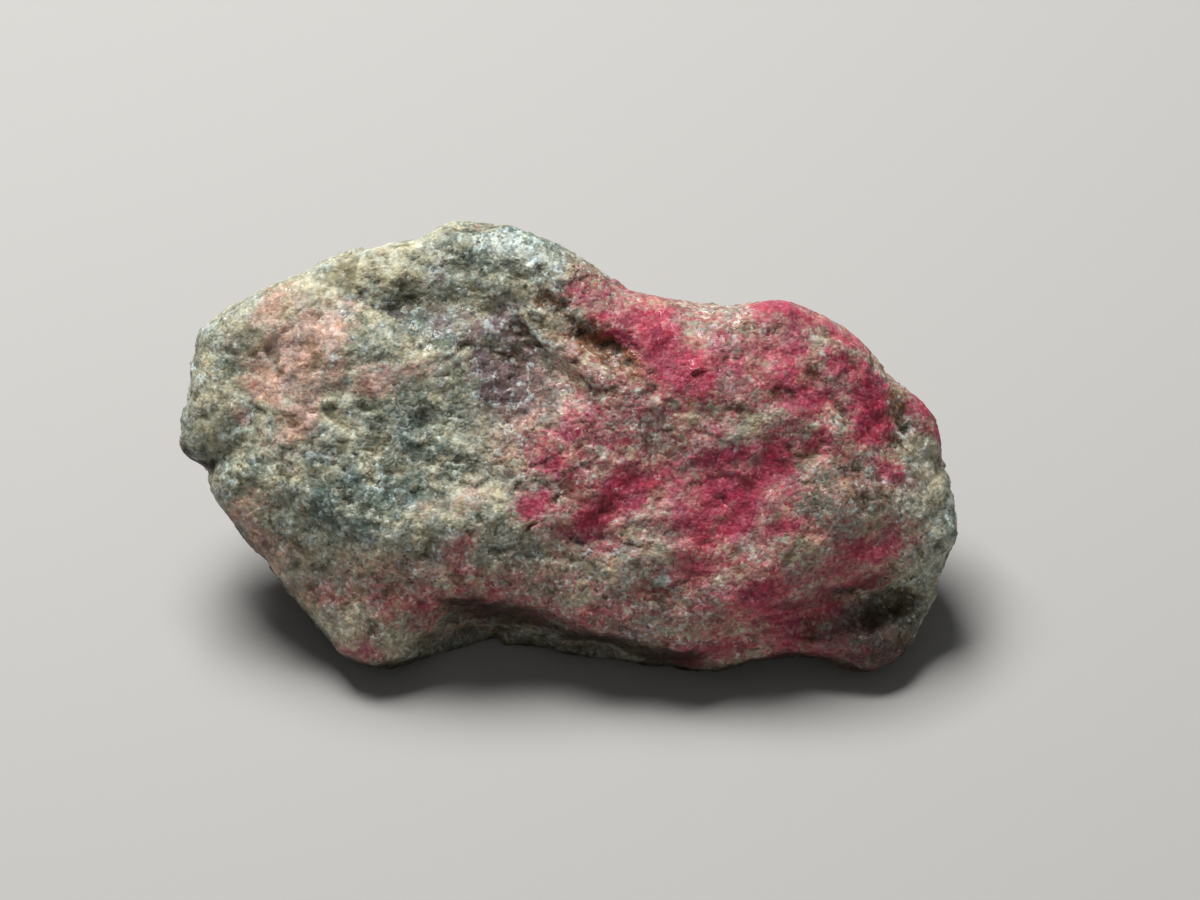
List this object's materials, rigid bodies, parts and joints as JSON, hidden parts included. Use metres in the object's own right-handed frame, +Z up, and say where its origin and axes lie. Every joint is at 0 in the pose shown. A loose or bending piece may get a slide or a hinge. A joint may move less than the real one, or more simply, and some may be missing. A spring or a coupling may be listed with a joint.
{
  "type": "rough tugtupite stone",
  "caption": "Rough broken piece of crimson tugtupite grown together with pale grey-green matrix, with one broad lumpy face and a flat break to rest on.",
  "frame": {"origin": "on the ground, under the middle of the stone's bounding box", "axes": "+X along the stone's length with the red end at +X, +Z up from the flat break, the broad face leaning back from -Y"},
  "size_m": [0.0312, 0.0144, 0.0141],
  "materials": {
    "stone": "rough broken rock with a sugary grain, crimson to rose patches in pale grey-green and cream matrix"
  },
  "bodies": {
    "root": {"rough_stone": "stone"}
  },
  "joints": []
}
